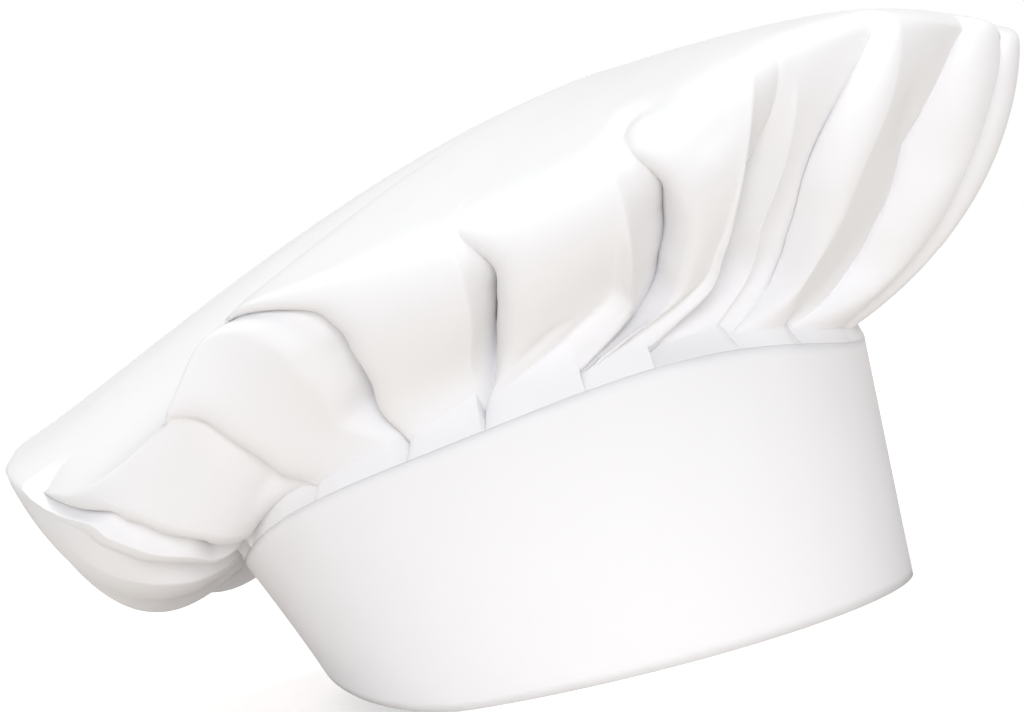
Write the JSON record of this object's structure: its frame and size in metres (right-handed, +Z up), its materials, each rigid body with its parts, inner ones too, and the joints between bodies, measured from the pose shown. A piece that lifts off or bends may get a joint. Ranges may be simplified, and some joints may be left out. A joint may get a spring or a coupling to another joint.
{
  "type": "chef hat",
  "caption": "White cloth chef hat: a wide pleated crown that falls to the back, gathered into a stiff band that closes at the back.",
  "frame": {"origin": "on the surface that the hat stands on, under the middle of its outline seen from above", "axes": "+X towards the front of the hat, -X towards the back where the crown falls and the band closes, +Z up out of the band"},
  "size_m": [0.3536, 0.2398, 0.1805],
  "materials": {
    "crown_cloth": "matte",
    "band_cloth": "matte",
    "hook_and_loop": "matte"
  },
  "bodies": {
    "root": {"crown": "crown_cloth", "band": "band_cloth", "closure_patch": "hook_and_loop"}
  },
  "joints": []
}
